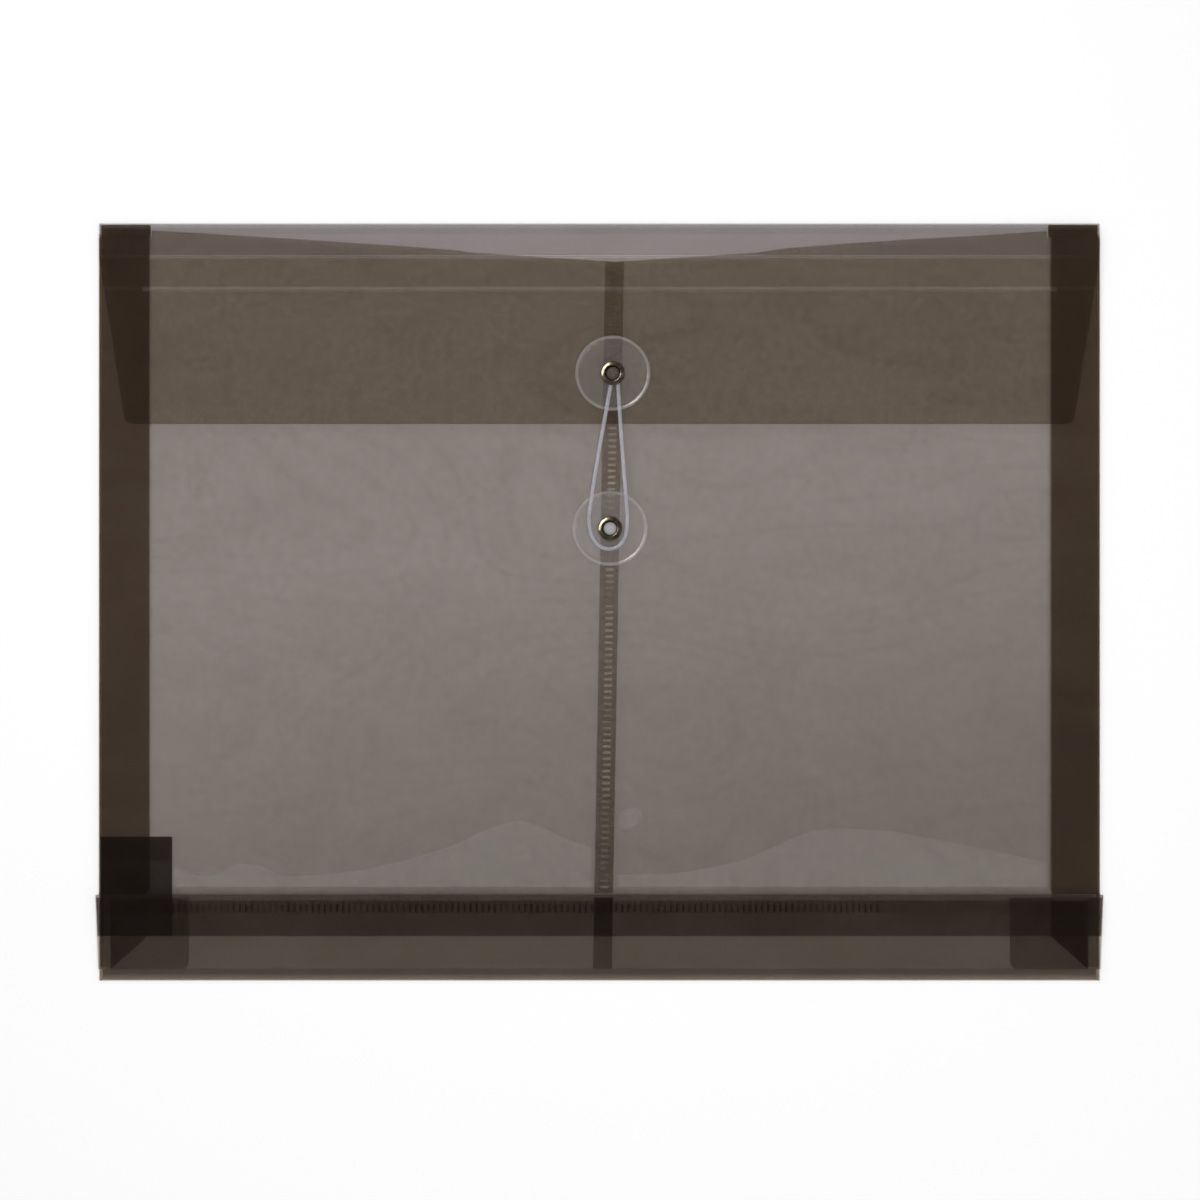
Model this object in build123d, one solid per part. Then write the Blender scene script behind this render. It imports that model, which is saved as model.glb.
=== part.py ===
from build123d import *
from math import radians, tan
import os

# String-tie document envelope of translucent sheet, lying flat on its back, in millimetres.
# X runs across it, Y from its bottom edge up to the flap fold, Z out of the page.

# The sheet and the room between layers that move apart
sheet = 0.3
layer_gap = 0.15
fold_gap = 0.12
overrun = 1.0

# Pocket
pocket_width = 320.0
pocket_height = 242.0
front_dip = 12.3
front_rise = 10.3
front_top_gap = 1.2
seam_width = 6.0
seam_lap = 1.5
seam_x_top = 5.1
seam_x_bottom = 0.9

# Side gussets, each folded inwards into two leaves
gusset_depth = 16.5
inner_fold_step = 1.0
gusset_top_drop = 0.1
front_leaf_drop = 0.9

# Bottom closure, folded up flat under the front
bottom_depth = 27.7
bottom_swell = 1.0
bottom_rim = 3.7
rim_lip = 3.0
crease_radius = 0.2
lower_layer_step = 1.2
hem_step = 2.2
weld_strip_depth = 13.4
inner_flap_inset = 1.6
ear_inset = 3.8
ear_width = 25.0
ear_fold_width = 12.0
ear_corner = 1.5
tuck_width = 22.8
tuck_height = 31.7
tuck_inset = 0.6

# Flap
flap_length = 64.0
flap_inset = 0.2
flap_taper = 8.4
flap_corner = 2.5
upper_score = 10.6
lower_score = 20.7

# Buttons: a clear disc that turns on an eyelet
disc_radius = 12.0
disc_thickness = 0.8
disc_rim_width = 1.2
disc_rim_height = 0.3
barrel_clearance = 0.05
disc_float = 0.1
eyelet_bore = 2.0
eyelet_barrel = 2.4
eyelet_collar = 3.0
eyelet_flange = 3.85
eyelet_foot = 3.6
eyelet_foot_height = 0.3
eyelet_roll = 0.55
collar_height = 2.0
upper_button_drop = 48.0
lower_button_drop = 97.5

# Tie string: a loop from the upper button round the lower one, its points in X and Y
string_diameter = 1.4
string_lift_upper = 0.3
string_lift_lower = 0.3
string_points = [
    (3.7, 69.9),
    (2.4, 62.5),
    (0.5, 52.0),
    (-1.35, 41.2),
    (-2.5, 33.2),
    (-3.6, 26.6),
    (-2.75, 21.3),
    (-0.5, 17.9),
    (3.0, 16.7),
    (6.5, 17.8),
    (8.5, 21.2),
    (9.0, 26.2),
    (8.55, 32.8),
    (7.85, 41.2),
    (6.6, 58.0),
    (5.9, 69.9),
]
string_run_share = 0.45

# Heights of the layers, from the table up
z_back = 0
z_tuck = z_back + sheet
z_rear_leaf = z_tuck + sheet + layer_gap
z_front_leaf = z_rear_leaf + sheet + layer_gap
z_front = z_front_leaf + sheet + layer_gap
z_seam = z_front + sheet
z_flap = z_seam + sheet + eyelet_foot_height + 2 * layer_gap
flap_top = z_flap + sheet
seam_top = z_seam + sheet

# Places worked out from the sizes above
half_width = pocket_width / 2
flap_top_half = half_width - flap_inset
flap_end_half = flap_top_half - flap_taper
top_edge = pocket_height / 2
bottom_edge = -pocket_height / 2
rear_fold_radius = (z_rear_leaf + sheet - z_back) / 2
front_fold_radius = (z_front + sheet - z_front_leaf) / 2
inner_fold_radius = (z_front_leaf + sheet - z_rear_leaf) / 2
top_fold_radius = (flap_top - z_back) / 2
rim_radius = (sheet + layer_gap + sheet) / 2
rear_fold_x = half_width - rear_fold_radius
front_fold_x = half_width - front_fold_radius
inner_fold_x = half_width - gusset_depth
top_fold_y = top_edge - top_fold_radius
panel_top = top_fold_y - top_fold_radius - fold_gap
bottom_crease_y = bottom_edge + bottom_depth
bottom_end = bottom_edge + bottom_rim
weld_strip_end = bottom_crease_y - weld_strip_depth
front_top_dip = top_edge - front_dip
front_top_limit = panel_top - front_top_gap
front_level_run = half_width * (front_top_limit - front_top_dip) / front_rise
upper_score_y = top_edge - upper_score
lower_score_y = top_edge - lower_score
flap_end = top_edge - flap_length
z_crease = z_front + sheet / 2
string_radius = string_diameter / 2


def seam_x(y):
    """Middle of the slightly slanted centre seam at height y."""
    rise_share = (y - bottom_edge) / pocket_height
    return seam_x_bottom + (seam_x_top - seam_x_bottom) * rise_share


def front_edge(x):
    """Upper edge of the front, a shallow V with its dip on the seam, level near the corners."""
    run_share = abs(x - seam_x(front_top_dip)) / half_width
    return min(front_top_dip + front_rise * run_share, front_top_limit)


def flap_half(y):
    """Half the width of the flap at height y, which tapers below the upper score line."""
    drop_share = max(upper_score_y - y, 0) / (flap_length - upper_score)
    return flap_top_half + (flap_end_half - flap_top_half) * drop_share


upper_button_y = top_edge - upper_button_drop
lower_button_y = top_edge - lower_button_drop
upper_button = (seam_x(upper_button_y), upper_button_y)
lower_button = (seam_x(lower_button_y), lower_button_y)


def panel(points, z):
    """A flat piece of sheet with the given outline, its underside at height z."""
    outline = make_face(Polyline(*points, close=True))
    return Pos(0, 0, z) * extrude(outline, amount=sheet)


def rectangle_points(x_low, y_low, x_high, y_high):
    return [(x_low, y_low), (x_high, y_low), (x_high, y_high), (x_low, y_high)]


def mirrored(points, side):
    """The outline of a right-hand piece, or its mirror image for the left."""
    return [(side * x, y) for x, y in points]


def cross_fold(y, z, radius, half_length):
    """A fold line running across the envelope."""
    return Pos(0, y, z) * Rot(0, 90, 0) * Cylinder(radius, 2 * half_length)


def side_fold(x, z, radius, y_low, y_high):
    """A fold line running up the envelope."""
    middle = (y_low + y_high) / 2
    return Pos(x, middle, z) * Rot(90, 0, 0) * Cylinder(radius, y_high - y_low)


def hole_at(place):
    """A punched hole that takes an eyelet's barrel."""
    x, y = place
    return Pos(x, y, z_back) * Cylinder(eyelet_barrel + barrel_clearance, 2 * (flap_top + overrun))


def back_panel():
    side = rear_fold_x - rear_fold_radius - fold_gap
    low = bottom_edge + rim_radius
    return panel(rectangle_points(-side, low, side, panel_top), z_back)


def rim_piece():
    """The bottom edge of the back, turned up into a narrow lip."""
    ring_y = bottom_edge + rim_radius
    inner_radius = rim_radius - sheet
    profile = Circle(rim_radius) - Circle(inner_radius)
    profile -= Pos(rim_radius, 0) * Rectangle(2 * rim_radius, 2 * rim_radius + overrun)
    lip_middle = rim_radius - sheet / 2
    profile += Pos(rim_lip / 2, lip_middle) * Rectangle(rim_lip, sheet)
    side = rear_fold_x - rear_fold_radius - fold_gap
    section = Plane((-side, ring_y, z_back + rim_radius), x_dir=(0, 1, 0), z_dir=(1, 0, 0)) * profile
    return extrude(section, amount=2 * side, dir=(1, 0, 0))


def corner_tuck():
    """The left-hand bottom corner, folded in twice and pressed on the back."""
    left = -half_width + tuck_inset + 2 * rear_fold_radius
    right = -half_width + tuck_inset + tuck_width
    outline = rectangle_points(left, weld_strip_end, right, weld_strip_end + tuck_height)
    return panel(outline, z_tuck)


def front_left():
    low = bottom_crease_y + crease_radius + fold_gap
    edge_low = seam_x(low) + seam_width / 2
    edge_high = seam_x(front_top_dip) + seam_width / 2
    side = front_fold_x - front_fold_radius - fold_gap
    outline = [
        (-side, low),
        (edge_low, low),
        (edge_high, front_edge(edge_high)),
        (seam_x(front_top_dip), front_top_dip),
        (seam_x(front_top_dip) - front_level_run, front_top_limit),
        (-side, front_top_limit),
    ]
    return panel(outline, z_front) - hole_at(lower_button)


def front_right():
    """The right half of the front, which steps up over the left half at the seam."""
    low = bottom_crease_y + crease_radius + fold_gap
    edge_low = seam_x(low) + seam_width / 2
    edge_high = seam_x(front_top_dip) + seam_width / 2
    side = front_fold_x - front_fold_radius - fold_gap
    outline = [
        (edge_low + fold_gap, low),
        (side, low),
        (side, front_top_limit),
        (seam_x(front_top_dip) + front_level_run, front_top_limit),
        (edge_high + fold_gap, front_edge(edge_high + fold_gap)),
    ]
    lap_low = edge_low + fold_gap + seam_lap
    lap_high = edge_high + fold_gap + seam_lap
    lap = [
        (edge_low - seam_width, low),
        (lap_low, low),
        (lap_high, front_edge(lap_high)),
        (seam_x(front_top_dip), front_top_dip),
        (edge_high - seam_width, front_edge(edge_high - seam_width)),
    ]
    half = panel(outline, z_front) + panel(lap, z_seam)
    return half - hole_at(lower_button)


def gusset_low():
    return bottom_crease_y + lower_layer_step


def gusset_high():
    return panel_top - gusset_top_drop


def rear_leaf(side):
    outer = rear_fold_x - rear_fold_radius - fold_gap
    inner = inner_fold_x + inner_fold_radius + fold_gap
    outline = rectangle_points(inner, gusset_low(), outer, gusset_high())
    return panel(mirrored(outline, side), z_rear_leaf)


def inner_fold(side):
    z = z_rear_leaf + inner_fold_radius
    return side_fold(side * inner_fold_x, z, inner_fold_radius, gusset_low(), gusset_high())


def front_leaf(side):
    outer = front_fold_x - front_fold_radius - fold_gap
    inner = inner_fold_x + inner_fold_step
    outline = rectangle_points(inner, gusset_low(), outer, panel_top - front_leaf_drop)
    return panel(mirrored(outline, side), z_front_leaf)


def rear_fold(side):
    z = z_back + rear_fold_radius
    return side_fold(side * rear_fold_x, z, rear_fold_radius, bottom_edge, gusset_high())


def front_fold(side):
    z = z_front_leaf + front_fold_radius
    low = bottom_crease_y + crease_radius + fold_gap
    return side_fold(side * front_fold_x, z, front_fold_radius, low, front_top_limit)


def bottom_half(y):
    """Half the width of the bottom flaps, which swell a little towards the crease."""
    rise_share = (y - bottom_edge) / bottom_depth
    return half_width + bottom_swell * rise_share


def bottom_panel(low, high, z):
    outline = [
        (-bottom_half(low), low),
        (bottom_half(low), low),
        (bottom_half(high), high),
        (-bottom_half(high), high),
    ]
    return panel(outline, z)


def lower_layer_top():
    return bottom_crease_y - lower_layer_step


def bottom_inner_flap():
    side = half_width - inner_flap_inset
    return panel(rectangle_points(-side, bottom_end, side, lower_layer_top()), z_rear_leaf)


def hem_top():
    return bottom_crease_y - hem_step


def bottom_hem():
    side = half_width - ear_inset - ear_fold_width - fold_gap
    return panel(rectangle_points(-side, weld_strip_end, side, hem_top()), z_rear_leaf + 2 * sheet)


def bottom_seam():
    low = bottom_end
    high = lower_layer_top()
    outline = [
        (seam_x(low) - seam_width / 2, low),
        (seam_x(low) + seam_width / 2, low),
        (seam_x(high) + seam_width / 2, high),
        (seam_x(high) - seam_width / 2, high),
    ]
    return panel(outline, z_rear_leaf + sheet)


def ear(side):
    """The end of a gusset, laid flat inside the bottom closure."""
    outer = half_width - ear_inset
    inner = outer - ear_width
    outline = [
        (inner + ear_corner, bottom_end),
        (outer, bottom_end),
        (outer, lower_layer_top()),
        (inner, lower_layer_top()),
        (inner, bottom_end + ear_corner),
    ]
    return panel(mirrored(outline, side), z_rear_leaf + sheet)


def ear_fold(side):
    """The slanting fold of an ear, a second layer over its outer corner, level with the hem."""
    outer = half_width - ear_inset
    outline = [
        (outer, bottom_end),
        (outer, hem_top()),
        (outer - ear_fold_width, hem_top()),
        (outer - ear_fold_width, weld_strip_end),
    ]
    return panel(mirrored(outline, side), z_rear_leaf + 2 * sheet)


def top_fold():
    """The rolled fold that the flap swings on, a thin tube across the top edge."""
    z = z_back + top_fold_radius
    tube = cross_fold(top_fold_y, z, top_fold_radius, flap_top_half)
    return tube - cross_fold(top_fold_y, z, top_fold_radius - sheet, flap_top_half + overrun)


def flap_strip(low, high):
    """A strip of the flap that runs right across it, with tapering ends."""
    return [
        (-flap_half(low), low),
        (flap_half(low), low),
        (flap_half(high), high),
        (-flap_half(high), high),
    ]


def spine_upper():
    low = upper_score_y + crease_radius + fold_gap
    return panel(flap_strip(low, panel_top), z_flap)


def spine_lower():
    low = lower_score_y + crease_radius + fold_gap
    high = upper_score_y - crease_radius - fold_gap
    return panel(flap_strip(low, high), z_flap)


def score_line(y):
    """A pressed fold line across the flap."""
    return cross_fold(y, z_flap + sheet / 2, crease_radius, flap_half(y))


def flap_panel():
    high = lower_score_y - crease_radius - fold_gap
    outline = make_face(Polyline(*flap_strip(flap_end, high), close=True))
    corners = outline.vertices().sort_by(Axis.Y)[:2]
    flap = Pos(0, 0, z_flap) * extrude(fillet(corners, flap_corner), amount=sheet)
    return flap - hole_at(upper_button)


def turned(points, place, z):
    """A round piece turned from a half section, standing on a button's axis."""
    section = make_face(Polyline(*[(r, 0, h) for r, h in points], close=True))
    x, y = place
    return Pos(x, y, z) * revolve(section, Axis.Z)


def disc(place, z):
    bore = eyelet_barrel + barrel_clearance
    rim = disc_radius - disc_rim_width
    rim_middle = disc_radius - disc_rim_width / 2
    points = [
        (bore, 0),
        (disc_radius - disc_rim_height, 0),
        (disc_radius, disc_rim_height),
        (disc_radius, disc_thickness),
        (rim_middle, disc_thickness + disc_rim_height),
        (rim, disc_thickness),
        (bore, disc_thickness),
    ]
    return turned(points, place, z + collar_height + disc_float / 2)


def eyelet(place, underside, top):
    """A rolled tube through sheet and disc: foot below, collar under the disc, rolled lip above."""
    shoulder = top - underside + collar_height
    seat = shoulder + disc_thickness + disc_float
    roll_middle = (eyelet_barrel + eyelet_flange) / 2
    points = [
        (eyelet_bore, -eyelet_foot_height),
        (eyelet_foot, -eyelet_foot_height),
        (eyelet_foot, 0),
        (eyelet_barrel, 0),
        (eyelet_barrel, top - underside),
        (eyelet_collar, top - underside),
        (eyelet_collar, shoulder),
        (eyelet_barrel, shoulder),
        (eyelet_barrel, seat),
        (eyelet_flange, seat),
        (roll_middle, seat + eyelet_roll),
        (eyelet_bore, seat + eyelet_roll / 2),
    ]
    return turned(points, place, underside)


def string_height(y):
    """The string slopes down gently from the flap to the front."""
    upper_z = flap_top + string_radius + string_lift_upper
    lower_z = seam_top + string_radius + string_lift_lower
    upper_y = string_points[0][1]
    lower_y = min(place[1] for place in string_points)
    return lower_z + (upper_z - lower_z) * (y - lower_y) / (upper_y - lower_y)


def tie_string():
    route = [Vector(x, y, string_height(y)) for x, y in string_points]
    radii = []
    for before, here, after in zip(route, route[1:], route[2:]):
        turn = (here - before).get_angle(after - here)
        run = min((here - before).length, (after - here).length)
        radii.append(string_run_share * run / tan(radians(turn / 2)))
    path = FilletPolyline(*route, radius=radii)
    section = Plane(path @ 0, z_dir=path % 0) * Circle(string_radius)
    tube = sweep(section, path=path)
    print("string radii", [round(r, 1) for r in radii])
    print("string length", round(path.length, 2))
    expected = section.area * path.length
    print("string volume share", round(tube.volume / expected, 4))
    return tube


os.makedirs("parts", exist_ok=True)
pieces = {
    "back_panel": back_panel(),
    "bottom_rim": rim_piece(),
    "left_corner_tuck": corner_tuck(),
    "front_left_panel": front_left(),
    "front_right_panel": front_right(),
    "bottom_crease": cross_fold(bottom_crease_y, z_crease, crease_radius, half_width),
    "bottom_outer_flap": bottom_panel(bottom_end, bottom_crease_y - crease_radius - fold_gap, z_front),
    "bottom_inner_flap": bottom_inner_flap(),
    "bottom_weld_strip": bottom_panel(weld_strip_end, bottom_crease_y - crease_radius, z_seam),
    "bottom_hem": bottom_hem(),
    "bottom_seam_strip": bottom_seam(),
    "top_fold": top_fold(),
    "flap_spine_upper": spine_upper(),
    "upper_score_line": score_line(upper_score_y),
    "flap_spine_lower": spine_lower(),
    "lower_score_line": score_line(lower_score_y),
    "flap_panel": flap_panel(),
    "upper_eyelet": eyelet(upper_button, z_flap, flap_top),
    "lower_eyelet": eyelet(lower_button, z_front, seam_top),
    "upper_disc": disc(upper_button, flap_top),
    "lower_disc": disc(lower_button, seam_top),
    "tie_string": tie_string(),
}
for side_name, side in (("left", -1), ("right", 1)):
    pieces[side_name + "_rear_fold"] = rear_fold(side)
    pieces[side_name + "_front_fold"] = front_fold(side)
    pieces[side_name + "_gusset_rear_leaf"] = rear_leaf(side)
    pieces[side_name + "_gusset_front_leaf"] = front_leaf(side)
    pieces[side_name + "_inner_fold"] = inner_fold(side)
    pieces[side_name + "_ear"] = ear(side)
    pieces[side_name + "_ear_fold"] = ear_fold(side)

for node, shape in pieces.items():
    export_step(shape, "parts/" + node + ".step")
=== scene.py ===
import math

import bpy
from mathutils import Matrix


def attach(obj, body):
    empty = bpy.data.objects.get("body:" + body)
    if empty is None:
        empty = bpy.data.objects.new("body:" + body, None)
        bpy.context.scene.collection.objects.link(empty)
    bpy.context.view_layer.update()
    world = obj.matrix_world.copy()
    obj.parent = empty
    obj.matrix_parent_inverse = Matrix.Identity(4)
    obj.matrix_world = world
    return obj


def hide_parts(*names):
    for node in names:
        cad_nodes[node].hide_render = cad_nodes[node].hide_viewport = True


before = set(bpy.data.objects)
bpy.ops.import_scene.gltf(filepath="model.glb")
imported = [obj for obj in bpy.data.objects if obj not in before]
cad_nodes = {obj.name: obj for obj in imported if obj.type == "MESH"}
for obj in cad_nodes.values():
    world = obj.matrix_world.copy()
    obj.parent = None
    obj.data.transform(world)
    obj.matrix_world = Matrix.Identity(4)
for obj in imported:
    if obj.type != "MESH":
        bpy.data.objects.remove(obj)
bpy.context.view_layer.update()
scene = bpy.context.scene
mm = 0.001
gauge = 0.3  # thickness of the plastic sheet, in millimetres
sides = ((-1, "left"), (1, "right"))


def hex_colour(code):
    """An sRGB hex value as a linear colour."""
    parts = [int(code[i:i + 2], 16) / 255 for i in (1, 3, 5)]
    linear = [c / 12.92 if c <= 0.04045 else ((c + 0.055) / 1.055) ** 2.4 for c in parts]
    return tuple(linear) + (1.0,)


def add_node(material, kind, settings=None, links=None):
    """A node with its settings by attribute or socket, its inputs linked from (node, output)."""
    tree = material.node_tree
    node = tree.nodes.new(kind)
    for name, value in (settings or {}).items():
        if name in node.inputs:
            node.inputs[name].default_value = value
        else:
            setattr(node, name, value)
    for socket, (source, output) in (links or {}).items():
        tree.links.new(source.outputs[output], node.inputs[socket])
    return node


def new_material(name):
    material = bpy.data.materials.new(name)
    material.use_nodes = True
    material.node_tree.nodes.clear()
    return material


def set_ramp(ramp, stops):
    elements = ramp.color_ramp.elements
    while len(elements) < len(stops):
        elements.new(0.5)
    for element, (place, code) in zip(elements, stops):
        element.position = place
        element.color = hex_colour(code)


# A colour mix that multiplies, and its two colour inputs and its colour output by number
multiplied = {"data_type": "RGBA", "blend_type": "MULTIPLY", "Factor": 1.0}
first, second, product = 6, 7, 2


def smoked_polypropylene(name, clear, deep, share=0.12, roughness=0.3, fading=None,
                         clinging=False, mottled=False):
    """Calendered polypropylene sheet, smoked brown: see-through, faintly clouded, softly shiny."""
    cloud = 22 * mm   # drawn out sideways to about 45 mm, as the pigment flows in the calender
    grit = 2.6 * mm   # fine matt grain, drawn this coarse so that it shows
    hollow = 85 * mm  # width of the shallow hollows between the front and the back
    wave = 70 * mm    # the sheet bows by fractions of a millimetre over this width
    material = new_material(name)
    place = add_node(material, "ShaderNodeTexCoord")
    drawn = add_node(material, "ShaderNodeMapping", {"Scale": (0.5, 1.0, 1.0)},
                     {"Vector": (place, "Object")})
    clouds = add_node(material, "ShaderNodeTexNoise",
                      {"Scale": 1 / cloud, "Detail": 5.0, "Distortion": 1.2},
                      {"Vector": (drawn, "Vector")})
    passed = add_node(material, "ShaderNodeValToRGB", links={"Fac": (clouds, "Fac")})
    set_ramp(passed, [(0.3, deep), (0.7, clear)])
    seen_through = (passed, "Color")
    grain = add_node(material, "ShaderNodeTexNoise", {"Scale": 1 / grit, "Detail": 2.0},
                     {"Vector": (place, "Object")})
    if mottled:
        mottle = add_node(material, "ShaderNodeValToRGB", links={"Fac": (grain, "Fac")})
        set_ramp(mottle, [(0.35, "#FDFDFD"), (0.65, "#FFFFFF")])
        specked = add_node(material, "ShaderNodeMix", multiplied,
                           {first: seen_through, second: (mottle, "Color")})
        seen_through = (specked, product)
    if fading:
        # the tint deepens evenly in one direction
        colour, direction, low, high = fading
        slant = add_node(material, "ShaderNodeVectorMath", {"operation": "DOT_PRODUCT"},
                         {0: (place, "Object")})
        slant.inputs[1].default_value = direction
        depth = add_node(material, "ShaderNodeMapRange",
                         {"From Min": low * mm, "From Max": high * mm},
                         {"Value": (slant, "Value")})
        fade = add_node(material, "ShaderNodeValToRGB", links={"Fac": (depth, "Result")})
        set_ramp(fade, [(0.0, colour), (1.0, "#FFFFFF")])
        faded = add_node(material, "ShaderNodeMix", multiplied,
                         {first: seen_through, second: (fade, "Color")})
        seen_through = (faded, product)
    if clinging:
        # faint thin contour lines where the front nearly touches the back, 3 to 7 mm apart
        swell = add_node(material, "ShaderNodeTexNoise", {"Scale": 1 / hollow, "Detail": 1.0},
                         {"Vector": (drawn, "Vector")})
        turns = add_node(material, "ShaderNodeMath", {"operation": "MULTIPLY"},
                         {0: (swell, "Fac")})
        turns.inputs[1].default_value = 140.0
        lines = add_node(material, "ShaderNodeMath", {"operation": "SINE"},
                         {0: (turns, "Value")})
        spread = add_node(material, "ShaderNodeMapRange", {"From Min": -1.0, "From Max": 1.0},
                          {"Value": (lines, "Value")})
        contour = add_node(material, "ShaderNodeValToRGB", links={"Fac": (spread, "Result")})
        set_ramp(contour, [(0.02, "#FEFEFE"), (0.2, "#FFFFFF")])
        ringed = add_node(material, "ShaderNodeMix", multiplied,
                          {first: seen_through, second: (contour, "Color")})
        seen_through = (ringed, product)
    film = add_node(material, "ShaderNodeBsdfTransparent", links={"Color": seen_through})
    tint = add_node(material, "ShaderNodeValToRGB", links={"Fac": (clouds, "Fac")})
    set_ramp(tint, [(0.3, "#1C1510"), (0.7, "#2A2019")])
    gloss = add_node(material, "ShaderNodeMapRange",
                     {"To Min": roughness - 0.05, "To Max": roughness + 0.05},
                     {"Value": (clouds, "Fac")})
    bow = add_node(material, "ShaderNodeTexNoise", {"Scale": 1 / wave, "Detail": 1.0},
                   {"Vector": (place, "Object")})
    bowed = add_node(material, "ShaderNodeBump", {"Strength": 0.35, "Distance": 0.6 * mm},
                     {"Height": (bow, "Fac")})
    grained = add_node(material, "ShaderNodeBump", {"Strength": 0.06, "Distance": 0.05 * mm},
                       {"Height": (grain, "Fac"), "Normal": (bowed, "Normal")})
    surface = add_node(material, "ShaderNodeBsdfPrincipled", {"IOR": 1.6},
                       {"Base Color": (tint, "Color"), "Roughness": (gloss, "Result"),
                        "Normal": (grained, "Normal")})
    mix = add_node(material, "ShaderNodeMixShader", {"Fac": share},
                   {1: (film, "BSDF"), 2: (surface, "BSDF")})
    add_node(material, "ShaderNodeOutputMaterial", links={"Surface": (mix, "Shader")})
    return material


def pressed_polypropylene(name, clear, dark, pale, share, clump, faint=None):
    """Polypropylene pressed by a heated bar or a scoring rule, whitened or darkened, uneven; also
    painted shade and painted reflections laid on the sheet.
    """
    material = new_material(name)
    place = add_node(material, "ShaderNodeTexCoord")
    uneven = add_node(material, "ShaderNodeTexNoise", {"Scale": 1 / (clump * mm), "Detail": 2.0},
                      {"Vector": (place, "Object")})
    tint = add_node(material, "ShaderNodeValToRGB", links={"Fac": (uneven, "Fac")})
    set_ramp(tint, [(0.35, dark), (0.62, pale)])
    rough = add_node(material, "ShaderNodeMapRange", {"To Min": 0.4, "To Max": 0.6},
                     {"Value": (uneven, "Fac")})
    ripple = add_node(material, "ShaderNodeBump", {"Strength": 0.2, "Distance": 0.05 * mm},
                      {"Height": (uneven, "Fac")})
    surface = add_node(material, "ShaderNodeBsdfPrincipled", {"IOR": 1.49},
                       {"Base Color": (tint, "Color"), "Roughness": (rough, "Result"),
                        "Normal": (ripple, "Normal")})
    film = add_node(material, "ShaderNodeBsdfTransparent", {"Color": hex_colour(clear)})
    if faint:
        # the bar presses harder in some places than in others
        passed = add_node(material, "ShaderNodeValToRGB", links={"Fac": (uneven, "Fac")})
        set_ramp(passed, [(0.42, faint), (0.58, clear)])
        material.node_tree.links.new(passed.outputs["Color"], film.inputs["Color"])
    mix = add_node(material, "ShaderNodeMixShader", {"Fac": share},
                   {1: (film, "BSDF"), 2: (surface, "BSDF")})
    add_node(material, "ShaderNodeOutputMaterial", links={"Surface": (mix, "Shader")})
    return material


def clear_moulding(name, clear, dark, pale, share, roughness, ior, edge_ior):
    """Moulded clear plastic: glossy, faintly hazy, with flow lines from the gate."""
    flow_width = 5 * mm
    material = new_material(name)
    place = add_node(material, "ShaderNodeTexCoord")
    haze = add_node(material, "ShaderNodeTexNoise",
                    {"Scale": 1 / flow_width, "Detail": 3.0, "Distortion": 1.5},
                    {"Vector": (place, "Object")})
    tint = add_node(material, "ShaderNodeValToRGB", links={"Fac": (haze, "Fac")})
    set_ramp(tint, [(0.3, dark), (0.7, pale)])
    gloss = add_node(material, "ShaderNodeMapRange",
                     {"To Min": roughness - 0.04, "To Max": roughness + 0.04},
                     {"Value": (haze, "Fac")})
    flow = add_node(material, "ShaderNodeBump", {"Strength": 0.12, "Distance": 0.1 * mm},
                    {"Height": (haze, "Fac")})
    surface = add_node(material, "ShaderNodeBsdfPrincipled", {"IOR": ior},
                       {"Base Color": (tint, "Color"), "Roughness": (gloss, "Result"),
                        "Normal": (flow, "Normal")})
    film = add_node(material, "ShaderNodeBsdfTransparent", {"Color": hex_colour(clear)})
    body = add_node(material, "ShaderNodeMixShader", {"Fac": share},
                    {1: (film, "BSDF"), 2: (surface, "BSDF")})
    # the gloss is on the outer faces only
    edge = add_node(material, "ShaderNodeFresnel", {"IOR": edge_ior}, {"Normal": (flow, "Normal")})
    face = add_node(material, "ShaderNodeNewGeometry")
    front = add_node(material, "ShaderNodeMath", {"operation": "SUBTRACT", "Value": 1.0},
                     {1: (face, "Backfacing")})
    mirrored = add_node(material, "ShaderNodeMath", {"operation": "MULTIPLY"},
                        {0: (edge, "Fac"), 1: (front, "Value")})
    shine = add_node(material, "ShaderNodeBsdfAnisotropic", {"Color": hex_colour("#FFFFFF")},
                     {"Roughness": (gloss, "Result"), "Normal": (flow, "Normal")})
    mix = add_node(material, "ShaderNodeMixShader", None,
                   {"Fac": (mirrored, "Value"), 1: (body, "Shader"), 2: (shine, "BSDF")})
    add_node(material, "ShaderNodeOutputMaterial", links={"Surface": (mix, "Shader")})
    return material


def antique_brass(name, dark, middle, bright, roughness):
    """Rolled brass with an antique finish: brown in the hollows, rubbed bright on the lip."""
    stain = 1.6 * mm
    material = new_material(name)
    place = add_node(material, "ShaderNodeTexCoord")
    patina = add_node(material, "ShaderNodeTexNoise", {"Scale": 1 / stain, "Detail": 4.0},
                      {"Vector": (place, "Object")})
    tint = add_node(material, "ShaderNodeValToRGB", links={"Fac": (patina, "Fac")})
    set_ramp(tint, [(0.3, dark), (0.55, middle), (0.75, bright)])
    gloss = add_node(material, "ShaderNodeMapRange",
                     {"To Min": roughness + 0.09, "To Max": roughness - 0.09},
                     {"Value": (patina, "Fac")})
    dents = add_node(material, "ShaderNodeBump", {"Strength": 0.15, "Distance": 0.05 * mm},
                     {"Height": (patina, "Fac")})
    shader = add_node(material, "ShaderNodeBsdfPrincipled", {"Metallic": 1.0},
                      {"Base Color": (tint, "Color"), "Roughness": (gloss, "Result"),
                       "Normal": (dents, "Normal")})
    add_node(material, "ShaderNodeOutputMaterial", links={"Surface": (shader, "BSDF")})
    return material


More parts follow.
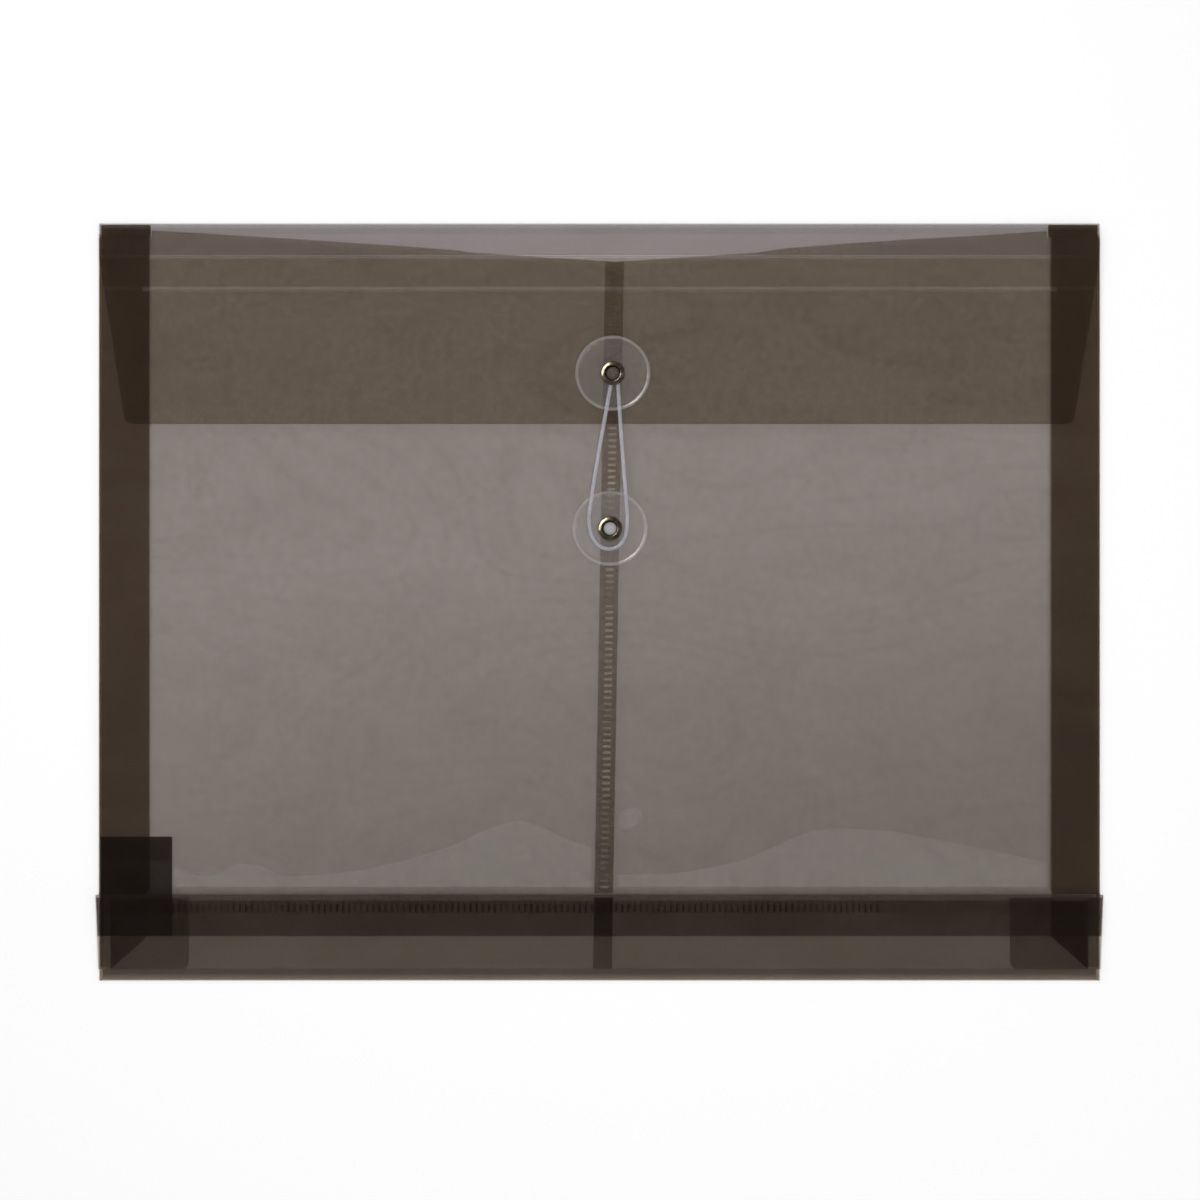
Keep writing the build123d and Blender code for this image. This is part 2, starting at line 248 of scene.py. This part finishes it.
# The sheet of each piece, with what it lets through where it is clearest and deepest
sheet = smoked_polypropylene("smoked_polypropylene_sheet", "#F5F5F7", "#F5F4F6", 0.08)
# painted shade: the front's tint deepens towards the bottom and a little to the right, so that the
# upper front looks lighter, as the light from above makes it
front_sheet = smoked_polypropylene("smoked_polypropylene_front", "#F9F6F2", "#F8F5F1",
                                   fading=("#F5F5F4", (-0.15, 1.0, 0.0), -85, 20),
                                   clinging=True, mottled=True)
flap_sheet = smoked_polypropylene("smoked_polypropylene_flap", "#F9F6F1", "#F8F5F0", mottled=True)
leaf_sheet = smoked_polypropylene("smoked_polypropylene_gusset", "#F6F3EF", "#F5F1EE")
bottom_sheet = smoked_polypropylene("smoked_polypropylene_bottom", "#F4F2EE", "#F3F0EC",
                                    fading=("#FEFEFE", (0.0, 1.0, 0.0), -117, -106))
hem_sheet = smoked_polypropylene("smoked_polypropylene_hem", "#FAF9F8", "#F9F8F7")
fold_sheet = smoked_polypropylene("smoked_polypropylene_top_fold", "#F8F7F7", "#F7F6F6")
spine_sheet = smoked_polypropylene("smoked_polypropylene_flap_spine", "#F9F6F4", "#F8F5F3")
inner_fold_sheet = smoked_polypropylene("smoked_polypropylene_inner_fold", "#FEFEFE", "#FDFDFD",
                                        0.02, 0.45)
tip_sheet = smoked_polypropylene("smoked_polypropylene_gusset_tip", "#CFC8BD", "#CEC7BC")
tip_foot_sheet = smoked_polypropylene("smoked_polypropylene_gusset_tip_foot", "#E3DDD6", "#E2DCD5")
tuck_sheet = smoked_polypropylene("smoked_polypropylene_double_tuck", "#CECDCD", "#CDCCCC")
tuck_turn_sheet = smoked_polypropylene("smoked_polypropylene_tuck_turn", "#FEFDFC", "#FDFCFB")
ear_edge_sheet = smoked_polypropylene("smoked_polypropylene_ear_edge", "#E4E2E0", "#E3E1DF")
ear_foot_sheet = smoked_polypropylene("smoked_polypropylene_ear_foot", "#FCFBFB", "#FBFAFA")
ear_top_sheet = smoked_polypropylene("smoked_polypropylene_ear_top", "#FCFAF9", "#FBF9F8", 0.06)
ear_sheet = smoked_polypropylene("smoked_polypropylene_ear", "#F8F6F5", "#F6F5F4")
right_ear_sheet = smoked_polypropylene("smoked_polypropylene_right_ear", "#F3F0EF", "#F2EFEE")
ear_fold_sheet = smoked_polypropylene("smoked_polypropylene_ear_fold", "#E9E7E6", "#E8E5E4")
right_ear_fold_sheet = smoked_polypropylene("smoked_polypropylene_right_ear_fold",
                                            "#DBD9D7", "#DAD7D6")
seam_sheet = smoked_polypropylene("smoked_polypropylene_bottom_seam", "#F6F1F1", "#F5F0F0",
                                  fading=("#D9DEDE", (0.0, -1.0, 0.0), 106.4, 107.2))
crease_sheet = smoked_polypropylene("smoked_polypropylene_crease", "#DCD8D5", "#DAD6D3")
# painted highlight: the turned rim lets more through towards its outer edge, for the light that the
# curled edge catches
rim_sheet = smoked_polypropylene("smoked_polypropylene_turned_rim", "#FAF6EF", "#F8F4ED",
                                 roughness=0.36,
                                 fading=("#DDDCDA", (0.0, -1.0, 0.0), 118.6, 121.8))

# Marks in the sheet, painted fold shade and painted reflection patches: what they let through,
# their colours, their strength and the size of clumps
# painted shade where the front starts to roll over the bottom crease
rolled = pressed_polypropylene("polypropylene_painted_fold_shade", "#FCFCFB", "#2A211B", "#3A3029",
                               0.01, 40)
scored = pressed_polypropylene("polypropylene_whitened_at_score", "#FFFFFF", "#C4BFBA", "#E8E5E2",
                               0.009, 40)
# painted reflection: a pale film for the soft wavy reflection on the lower front
painted_cling_reflection = pressed_polypropylene("polypropylene_cling_painted_reflection", "#FFFFFF", "#DEDBDA", "#EAE7E8",
                              0.021, 30)
weld_pale = pressed_polypropylene("polypropylene_seam_weld", "#FFFFFF", "#8A7F70", "#DCD0C2",
                                  0.15, 14)
weld_faint = pressed_polypropylene("polypropylene_faint_seam_weld", "#FFFFFF", "#7A6F60",
                                   "#D8CCBC", 0.1, 14)
weld_covered = pressed_polypropylene("polypropylene_seam_weld_under_flap", "#FFFFFF", "#5A4F43",
                                     "#A89B8B", 0.085, 14)
weld_bar = pressed_polypropylene("polypropylene_weld_bar_mark", "#FCFBFB", "#1E1611", "#2A211B",
                                 0.014, 30)
weld_dark = pressed_polypropylene("polypropylene_bottom_weld", "#E0DCD9", "#1E1611", "#32271F",
                                  0.05, 12, "#F6F4F3")

disc_clear = clear_moulding("clear_polystyrene_disc", "#FEFEFE", "#C8CAD0", "#E2E3E8",
                            0.036, 0.12, 1.59, 1.25)
# painted highlight: the rim is a paler, hazier copy of the disc's plastic, for the light that
# catches along its edge
disc_rim_painted_highlight = clear_moulding("clear_polystyrene_rim_painted_highlight", "#FCFCFB", "#D8D5D3", "#F0EEEC",
                                0.1, 0.2, 1.59, 1.48)
cord_clear = clear_moulding("clear_vinyl_cord", "#F6F6F8", "#D0CFDA", "#ECEBF4",
                            0.27, 0.2, 1.53, 1.4)
brass = antique_brass("antique_brass_rubbed_lip", "#5E5342", "#968A74", "#CFC6B2", 0.25)
brass_dark = antique_brass("antique_brass_throat", "#2A2119", "#4E3F2C", "#8A7350", 0.34)

# The CAD sheets that differ from the plain sheet
finishes = {
    "front_left_panel": front_sheet, "front_right_panel": front_sheet,
    "flap_panel": flap_sheet, "flap_spine_upper": spine_sheet, "flap_spine_lower": flap_sheet,
    "left_inner_fold": inner_fold_sheet, "right_inner_fold": inner_fold_sheet,
    "upper_score_line": spine_sheet, "lower_score_line": flap_sheet,
    "left_gusset_rear_leaf": leaf_sheet, "right_gusset_rear_leaf": leaf_sheet,
    "left_gusset_front_leaf": leaf_sheet, "right_gusset_front_leaf": leaf_sheet,
    "bottom_outer_flap": bottom_sheet, "bottom_inner_flap": bottom_sheet,
    "bottom_weld_strip": hem_sheet, "bottom_hem": hem_sheet, "bottom_seam_strip": seam_sheet,
    "bottom_rim": rim_sheet, "left_corner_tuck": tuck_sheet,
    "left_ear": ear_sheet, "right_ear": right_ear_sheet,
    "left_ear_fold": ear_fold_sheet, "right_ear_fold": right_ear_fold_sheet,
}
for name, node in cad_nodes.items():
    node.data.materials.clear()
    node.data.materials.append(finishes.get(name, sheet))


# New pieces: all their sizes and places are in millimetres
def deselect():
    bpy.ops.object.select_all(action="DESELECT")


def finish_piece(piece, name, material, body):
    """Name, material and body of a finished piece."""
    piece.name = name
    piece.data.name = name
    piece.data.materials.clear()
    piece.data.materials.append(material)
    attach(piece, body)
    return piece


def start_outline(start):
    """One vertex in edit mode, to draw an outline from."""
    deselect()
    bpy.ops.mesh.primitive_plane_add(size=1 * mm, location=(0, 0, 0))
    piece = bpy.context.object
    bpy.ops.object.mode_set(mode="EDIT")
    bpy.ops.mesh.merge(type="CENTER")
    bpy.ops.transform.translate(value=[v * mm for v in start])
    return piece


def draw_outline(points):
    """Edges extruded from the first point through the others and back to it."""
    here = points[0]
    for after in points[1:] + points[:1]:
        step = [(b - a) * mm for a, b in zip(here, after)]
        bpy.ops.mesh.extrude_region_move(TRANSFORM_OT_translate={"value": step})
        here = after
    bpy.ops.mesh.select_all(action="SELECT")


def turn_profile(centre, profile, steps=72):
    """A round piece: a half section of (radius, height), spun about the button's axis."""
    x, y = centre
    section = [(x + radius, y, height) for radius, height in profile]
    piece = start_outline(section[0])
    draw_outline(section)
    bpy.ops.mesh.spin(steps=steps, angle=2 * math.pi, center=(x * mm, y * mm, 0), axis=(0, 0, 1))
    bpy.ops.mesh.select_all(action="SELECT")
    bpy.ops.mesh.remove_doubles(threshold=0.005 * mm)
    bpy.ops.mesh.normals_make_consistent(inside=False)
    bpy.ops.object.mode_set(mode="OBJECT")
    bpy.ops.object.shade_smooth_by_angle(angle=math.radians(40))
    return piece


def arc(centre, radius, start, end, count):
    """Points of a rounded edge in a section."""
    turns = [math.radians(start + (end - start) * i / count) for i in range(count + 1)]
    return [(centre[0] + radius * math.cos(t), centre[1] + radius * math.sin(t)) for t in turns]


upper_button = (4.26694, 73.0)
lower_button = (3.40785, 23.5)


def button_disc(centre, low, name):
    """A clear disc with a rounded edge, dished slightly round its hole, and its raised rim."""
    thickness = 0.8
    high = low + thickness
    profile = [(2.45, low + 0.1), (2.55, low)]
    profile += arc((10.55, low + 0.3), 0.3, -90, 0, 4)
    profile += [(10.85, high - 0.1), (10.7, high), (5.2, high), (4.4, high - 0.06),
                (2.55, high - 0.06), (2.45, high - 0.16)]
    disc = turn_profile(centre, profile)
    finish_piece(disc, name + "_face", disc_clear, name)
    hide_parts(name)
    bead = [(10.9, low + 0.2), (11.05, low), (11.75, low), (11.95, low + 0.12), (12.0, low + 0.3),
            (12.0, low + 1.02), (11.98, low + 1.06), (11.92, low + 1.08), (11.7, low + 1.08),
            (11.5, low + 1.03), (10.9, low + 0.79)]
    rim = turn_profile(centre, bead, 96)
    finish_piece(rim, name + "_rim", disc_rim_painted_highlight, name)


button_disc(upper_button, 5.2, "upper_disc")
button_disc(lower_button, 4.3, "lower_disc")


def button_eyelet(centre, foot, sheet_low, sheet_high, name, body):
    """A rolled tube: flat foot, collar under the disc and a full rolled lip over it."""
    bore, barrel, throat = 2.0, 2.4, 2.45
    collar = sheet_high + 2.0
    seat = sheet_high + 2.9
    profile = [(bore, foot + 0.1), (2.12, foot), (3.45, foot), (3.6, foot + 0.12),
               (3.6, sheet_low), (barrel, sheet_low), (barrel, sheet_high),
               (2.85, sheet_high), (3.0, sheet_high + 0.15), (3.0, collar - 0.15),
               (2.85, collar), (barrel, collar), (barrel, seat),
               (3.62, seat), (3.8, seat + 0.03), (3.85, seat + 0.1), (3.78, seat + 0.17),
               (3.3, seat + 0.37), (2.85, seat + 0.55), (2.65, seat + 0.59),
               (2.45, seat + 0.55), (2.3, seat + 0.42), (2.15, seat + 0.1),
               (2.05, seat - 0.3), (bore, seat - 0.7)]
    eyelet = turn_profile(centre, profile, 64)
    finish_piece(eyelet, name + "_rolled", brass, body)
    # the throat keeps its dark patina
    eyelet.data.materials.append(brass_dark)
    for face in eyelet.data.polygons:
        away = math.hypot(face.center.x - centre[0] * mm, face.center.y - centre[1] * mm)
        if away < throat * mm:
            face.material_index = 1
    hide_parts(name)


button_eyelet(upper_button, 2.55, 2.85, 3.15, "upper_eyelet", "flap")
button_eyelet(lower_button, 1.35, 1.65, 2.25, "lower_eyelet", "front")


def new_block(middle, size):
    """A block in object mode, with nothing selected in its mesh."""
    deselect()
    bpy.ops.mesh.primitive_cube_add(size=1, location=(0, 0, 0))
    block = bpy.context.object
    bpy.ops.object.mode_set(mode="EDIT")
    bpy.ops.transform.resize(value=[v * mm for v in size])
    bpy.ops.transform.translate(value=[v * mm for v in middle])
    bpy.ops.mesh.select_all(action="DESELECT")
    bpy.ops.object.mode_set(mode="OBJECT")
    return block


def weld_row(name, middle, size, step, count, material, body):
    """One pressed tick, pillowed on top, repeated along a weld."""
    shoulder, rise = 0.22 * min(size[:2]), 0.4 * size[2]
    mark = new_block(middle, size)
    for face in mark.data.polygons:
        face.select = face.normal.z > 0.9
    bpy.ops.object.mode_set(mode="EDIT")
    bpy.ops.mesh.inset(thickness=shoulder * mm, depth=rise * mm)
    bpy.ops.object.mode_set(mode="OBJECT")
    row = mark.modifiers.new("row", "ARRAY")
    row.count = count
    row.use_relative_offset = False
    row.use_constant_offset = True
    row.constant_offset_displace = [v * mm for v in step]
    bpy.ops.object.modifier_apply(modifier=row.name)
    bpy.ops.object.shade_smooth_by_angle(angle=math.radians(30))
    return finish_piece(mark, name, material, body)


# The lapped seam leans to the right on its way up, and its ticks with it
seam_foot, bottom_edge, envelope_height = 1.1, -121.0, 242.0
seam_lean = 4.2 / envelope_height
tick_spacing = 1.95
for name, low, count, finish in (("seam_welds_low", -91.0, 54, weld_faint),
                                 ("seam_welds_middle", 30.2, 14, weld_pale),
                                 ("seam_welds_high", 57.5, 25, weld_covered)):
    seam_x = seam_foot + seam_lean * (low - bottom_edge)
    weld_row(name, (seam_x, low, 2.26), (2.5, 0.85, 0.08),
             (seam_lean * tick_spacing, tick_spacing, 0), count, finish, "front")
weld_row("bottom_welds", (-155.6, -97.8, 2.28), (0.75, 2.7, 0.06), (1.94, 0, 0), 127,
         weld_dark, "bottom")


def sheet_strip(name, across, along, height, material, body, margin=0.1):
    """A thin strip with the given ranges in X, Y and Z, and a margin round its flat faces."""
    ranges = (across, along, height)
    strip = new_block([(low + high) / 2 for low, high in ranges],
                      [high - low for low, high in ranges])
    for face in strip.data.polygons:
        face.select = abs(face.normal.z) > 0.9
    bpy.ops.object.mode_set(mode="EDIT")
    bpy.ops.mesh.inset(thickness=margin * mm, depth=0, use_individual=True)
    bpy.ops.mesh.select_all(action="DESELECT")
    bpy.ops.object.mode_set(mode="OBJECT")
    return finish_piece(strip, name, material, body)


def side_range(side, inner, outer):
    """A range in X on the left or on the right."""
    return sorted((side * inner, side * outer))


# Whitened bands along the score lines, fading off at both sides
for name, y, half, body in (("upper_score", 110.2, 144.0, "flap_spine_upper"),
                            ("lower_score", 99.95, 146.0, "flap_spine_lower")):
    sheet_strip(name + "_white", (-half, half), (y - 0.95, y + 0.95), (3.155, 3.17),
                scored, body, 0.3)
    sheet_strip(name + "_core", (-half, half), (y - 0.55, y + 0.55), (3.175, 3.19),
                scored, body, 0.2)

# Painted shade: the front is darkened where it starts to roll over the bottom crease. The inner
# flap turns up to the crease, and the weld bar has left a mark
sheet_strip("front_roll_painted_shade_wide", (-158.9, 158.9), (-92.95, -91.1), (1.61, 1.63), rolled, "front", 0.3)
sheet_strip("front_roll_painted_shade_narrow", (-158.9, 158.9), (-92.95, -92.0), (1.57, 1.59), rolled, "front",
            0.3)
sheet_strip("inner_flap_turn", (-158.4, 158.4), (-94.49, -93.6), (0.95, 1.25),
            bottom_sheet, "bottom")
sheet_strip("weld_bar_mark", (-157.5, 157.5), (-99.2, -95.1), (2.255, 2.27), weld_bar, "bottom",
            0.4)

# The gussets reach up into the rolled fold
for side, name in sides:
    leaf = name + "_gusset"
    across = side_range(side, 143.4, 159.2)
    sheet_strip(leaf + "_tip", across, (117.66, 120.5), (1.4, 1.7), tip_sheet, "back")
    sheet_strip(leaf + "_tip_foot", across, (116.6, 117.65), (1.53, 1.62),
                tip_foot_sheet, leaf + "_front")

# They run on down to the crease, and the left one goes on to its inner fold
for side, name in sides:
    sheet_strip(name + "_gusset_foot", side_range(side, 144.5, 159.1), (-93.4, -92.11),
                (1.36, 1.45), tip_foot_sheet, "front")
sheet_strip("left_gusset_turn", (-144.5, -143.7), (-92.1, 116.8), (1.08, 1.17),
            leaf_sheet, "left_gusset_rear")

# The tuck is double along its upper edge, and the ears and the inner flap go on to the fold
sheet_strip("tuck_turned_edge", (-158.2, -136.7), (-82.6, -75.1), (0.62, 0.7),
            tuck_turn_sheet, "back", 0.2)
sheet_strip("tuck_folded_edge", (-159.5, -158.37), (-106.7, -75.0), (0.33, 0.6),
            tuck_sheet, "back")
for side, name in sides:
    sheet_strip(name + "_ear_foot", side_range(side, 156.25, 159.6), (-116.6, -106.75), (1.1, 1.4),
                ear_foot_sheet, "bottom")
sheet_strip("right_ear_top", (144.5, 160.2), (-94.48, -93.66), (1.28, 1.4),
            ear_top_sheet, "bottom")
for side, name in sides:
    sheet_strip(name + "_inner_flap_edge", side_range(side, 158.42, 158.82), (-117.2, -94.5),
                (0.8, 1.0), bottom_sheet, "bottom", 0.05)


def drawn_section(section, along, low, high):
    """A long piece: a section of (across, height), filled, then drawn out along X or Y."""
    if along == "X":
        outline = [(low, across, height) for across, height in section]
        reach = ((high - low) * mm, 0, 0)
    else:
        outline = [(across, low, height) for across, height in section]
        reach = (0, (high - low) * mm, 0)
    piece = start_outline(outline[0])
    draw_outline(outline)
    bpy.ops.mesh.remove_doubles(threshold=0.002 * mm)
    bpy.ops.mesh.edge_face_add()
    bpy.ops.mesh.extrude_region_move(TRANSFORM_OT_translate={"value": reach})
    bpy.ops.mesh.select_all(action="SELECT")
    bpy.ops.mesh.normals_make_consistent(inside=False)
    bpy.ops.object.mode_set(mode="OBJECT")
    bpy.ops.object.shade_smooth_by_angle(angle=math.radians(40))
    return piece


def folded_edge(middle, height, radius, leg_end, side, count=10):
    """Section of a sheet folded over on itself: two flat legs and a half round between them."""
    outer = arc((0, height), radius, -90, 90, count)
    inner = arc((0, height), radius - gauge, 90, -90, count)
    reach = abs(middle - leg_end)
    half = [(-reach, height - radius)] + outer
    half += [(-reach, height + radius), (-reach, height + radius - gauge)]
    half += inner + [(-reach, height - radius + gauge)]
    return [(middle + side * a, z) for a, z in half]


# Folds of the sheet, run on to the panels that they join
top = drawn_section(folded_edge(119.425, 1.575, 1.575, 117.74, 1, 16), "X", -159.8, 159.8)
finish_piece(top, "top_fold_sheet", fold_sheet, "back")
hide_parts("top_fold")
for side, name in sides:
    rear = drawn_section(folded_edge(side * 159.475, 0.525, 0.525, side * 158.84, side),
                         "Y", -121.0, 117.63)
    finish_piece(rear, name + "_rear_fold_sheet", leaf_sheet, "back")
    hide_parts(name + "_rear_fold")
    ahead = drawn_section(folded_edge(side * 159.625, 1.575, 0.35, side * 159.2, side),
                          "Y", -92.98, 116.53)
    finish_piece(ahead, name + "_front_fold_sheet", leaf_sheet, "front")
    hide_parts(name + "_front_fold")

crease = drawn_section(arc((-93.3, 1.8), 0.31, 0, 345, 23), "X", -160.0, 160.0)
finish_piece(crease, "bottom_crease_roll", crease_sheet, "front")
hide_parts("bottom_crease")

rim_turn, rim_radius = (-120.625, 0.375), 0.375
rim_section = arc(rim_turn, rim_radius, 270, 90, 10) + [(-117.31, 0.75), (-117.31, 0.45)]
rim_section += arc(rim_turn, rim_radius - gauge, 90, 270, 6)
rim = drawn_section(rim_section, "X", -158.83, 158.83)
finish_piece(rim, "bottom_rim_turned", rim_sheet, "back")
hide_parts("bottom_rim")

flap_edge = drawn_section([(57.0, 2.9), (56.92, 3.0), (57.0, 3.1), (57.2, 3.17), (57.2, 2.83)],
                          "X", -148.6, 148.6)
finish_piece(flap_edge, "flap_cut_edge", flap_sheet, "flap")


def film_piece(name, edge, low, high, material, body="front"):
    """A thin flat piece with the given outline."""
    outline = [(x, y, low) for x, y in edge]
    piece = start_outline(outline[0])
    draw_outline(outline)
    bpy.ops.mesh.remove_doubles(threshold=0.01 * mm)
    bpy.ops.mesh.edge_face_add()
    bpy.ops.mesh.extrude_region_move(TRANSFORM_OT_translate={"value": (0, 0, (high - low) * mm)})
    bpy.ops.mesh.select_all(action="SELECT")
    bpy.ops.mesh.normals_make_consistent(inside=False)
    bpy.ops.object.mode_set(mode="OBJECT")
    return finish_piece(piece, name, material, body)


# The front's upper corners, which rise into the rolled fold
film_piece("left_front_corner", [
    (-143.0, 116.54), (-143.0, 118.75), (-128.0, 117.9), (-99.2, 116.1), (-64.0, 113.8),
    (-44.8, 112.3), (-42.0, 111.73), (-116.7, 116.54)], 1.66, 1.94, front_sheet)
film_piece("right_front_corner", [
    (143.0, 116.54), (143.0, 118.6), (128.0, 117.5), (102.0, 116.05), (80.0, 114.6),
    (60.0, 113.1), (50.0, 111.61), (126.5, 116.54)], 1.66, 1.94, front_sheet)

# The ears go on to the slanted outer edges between the bottom flaps
for side, name, inner in ((-1, "left_ear_edge", 158.4), (1, "right_ear_edge", 156.25)):
    edge = [(inner, -106.7), (160.15, -106.7), (160.85, -94.5), (inner, -94.5)]
    film_piece(name, [(side * x, y) for x, y in edge], 1.1, 1.4, ear_edge_sheet, "bottom")

# Painted reflection: pale patches laid on the front where it clings to the back, painting the soft
# wavy reflection that makes it look paler there
film_piece("left_cling_painted_reflection", [
    (-136.0, -91.0), (-136.0, -84.6), (-131.0, -86.3), (-126.4, -87.8), (-121.6, -86.6),
    (-115.2, -83.4), (-108.8, -84.0), (-104.0, -86.4), (-100.8, -87.8), (-92.0, -87.4),
    (-75.2, -85.6), (-60.0, -82.0), (-48.0, -78.2), (-36.0, -72.6), (-25.0, -69.6),
    (-17.0, -72.4), (-11.2, -75.4), (-2.6, -78.6), (-2.6, -91.0)], 1.955, 1.97, painted_cling_reflection)
film_piece("right_cling_painted_reflection", [
    (5.4, -91.0), (5.4, -87.2), (25.6, -86.6), (44.8, -83.0), (59.2, -76.6), (66.0, -73.6),
    (75.2, -72.2), (92.8, -73.1), (104.0, -75.2), (116.8, -77.6), (130.0, -80.4),
    (142.4, -83.0), (142.4, -91.0)], 1.955, 1.97, painted_cling_reflection)
film_piece("small_cling_painted_reflection", [
    (5.4, -72.4), (8.8, -72.8), (12.2, -70.8), (13.8, -67.8), (12.8, -66.2), (9.6, -65.8),
    (6.4, -67.4), (5.4, -69.2)], 1.955, 1.97, painted_cling_reflection)

# Tie string: the route's points from the upper button round the lower one and back; it lies lower
# at its loop than at its ends
string_route = [(3.7, 69.9), (2.4, 62.5), (0.5, 52.0), (-1.35, 41.2), (-2.5, 33.2), (-3.6, 26.6),
                (-2.75, 21.3), (-0.5, 17.9), (3.0, 16.7), (6.5, 17.8), (8.5, 21.2), (9.0, 26.2),
                (8.55, 32.8), (7.85, 41.2), (6.6, 58.0), (5.9, 69.9)]
loop_y, ends_y = 16.7, 69.9
loop_z, ends_z = 3.25, 4.15
curve = bpy.data.curves.new("tie_string_cord", "CURVE")
curve.dimensions = "3D"
spline = curve.splines.new("NURBS")
spline.points.add(len(string_route) - 1)
for point, (x, y) in zip(spline.points, string_route):
    z = loop_z + (ends_z - loop_z) * (y - loop_y) / (ends_y - loop_y)
    point.co = (x * mm, y * mm, z * mm, 1.0)
spline.order_u = 3
spline.use_endpoint_u = True
spline.resolution_u = 12
curve.bevel_depth = 0.7 * mm
curve.bevel_resolution = 5
curve.use_fill_caps = True
string = bpy.data.objects.new("tie_string_cord", curve)
scene.collection.objects.link(string)
finish_piece(string, "tie_string_cord", cord_clear, "flap")
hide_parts("tie_string")

# Floor: white paper, which goes on as an even white further out, past the object's shadow
deselect()
bpy.ops.mesh.primitive_plane_add(size=12, location=(0, 0, -0.0003))
floor = bpy.context.object
floor.name = "floor"
white = new_material("white_paper_floor")
paper = add_node(white, "ShaderNodeBsdfPrincipled",
                 {"Base Color": hex_colour("#FBFBFB"), "Roughness": 0.9, "Specular IOR Level": 0.0})
spot = add_node(white, "ShaderNodeTexCoord")
reach = add_node(white, "ShaderNodeVectorMath", {"operation": "LENGTH"}, {0: (spot, "Object")})
outer = add_node(white, "ShaderNodeMapRange", {"From Min": 0.3, "From Max": 1.0},
                 {"Value": (reach, "Value")})
ray = add_node(white, "ShaderNodeLightPath")
shown = add_node(white, "ShaderNodeMath", {"operation": "MAXIMUM"},
                 {0: (ray, "Is Camera Ray"), 1: (ray, "Is Glossy Ray")})
seen = add_node(white, "ShaderNodeMath", {"operation": "MAXIMUM"},
                {0: (shown, "Value"), 1: (ray, "Is Transmission Ray")})
share = add_node(white, "ShaderNodeMath", {"operation": "MULTIPLY"},
                 {0: (outer, "Result"), 1: (seen, "Value")})
even = add_node(white, "ShaderNodeEmission", {"Color": hex_colour("#FFFFFF"), "Strength": 1.0})
ground = add_node(white, "ShaderNodeMixShader", None,
                  {"Fac": (share, "Value"), 1: (paper, "BSDF"), 2: (even, "Emission")})
add_node(white, "ShaderNodeOutputMaterial", links={"Surface": (ground, "Shader")})
floor.data.materials.append(white)

world = bpy.data.worlds.new("studio")
scene.world = world
world.use_nodes = True
sky = world.node_tree.nodes["Background"]
sky.inputs["Color"].default_value = hex_colour("#FFFFFF")
sky.inputs["Strength"].default_value = 0.15


def soft_light(name, place, size, power):
    """A softbox that faces the middle of the floor."""
    lamp = bpy.data.lights.new(name, "AREA")
    lamp.shape = "RECTANGLE"
    lamp.size, lamp.size_y = size
    lamp.energy = power
    light = bpy.data.objects.new(name, lamp)
    light.location = place
    scene.collection.objects.link(light)
    light.rotation_euler = light.location.to_track_quat("Z", "Y").to_euler()
    return light


overhead = soft_light("overhead_softbox", (0.02, 0.0, 1.6), (0.6, 0.6), 18.8)
overhead.visible_glossy = False
soft_light("left_softbox", (-0.7, 1.0, 1.2), (0.5, 0.5), 6)
fill = soft_light("right_softbox", (1.0, -0.7, 1.0), (0.5, 0.5), 2)
fill.visible_glossy = False
# a long pale card that only shows in the gloss of the rims, the eyelets and the string
card = soft_light("left_reflector", (-1.0, 0.7, 1.2), (2.0, 0.5), 16)
card.visible_diffuse = False

# The camera looks straight down on the sheet, and its view is 383.3 mm wide there
view_distance, view_width, sheet_height = 2.0, 0.3833, 0.0025
eye = bpy.data.cameras.new("photo_camera")
eye.sensor_width = 36
eye.lens = eye.sensor_width * view_distance / view_width
camera = bpy.data.objects.new("photo_camera", eye)
camera.location = (0.00019, 0.00066, view_distance + sheet_height)
scene.collection.objects.link(camera)
scene.camera = camera
scene.view_settings.view_transform = "Standard"
scene.cycles.transparent_max_bounces = 64
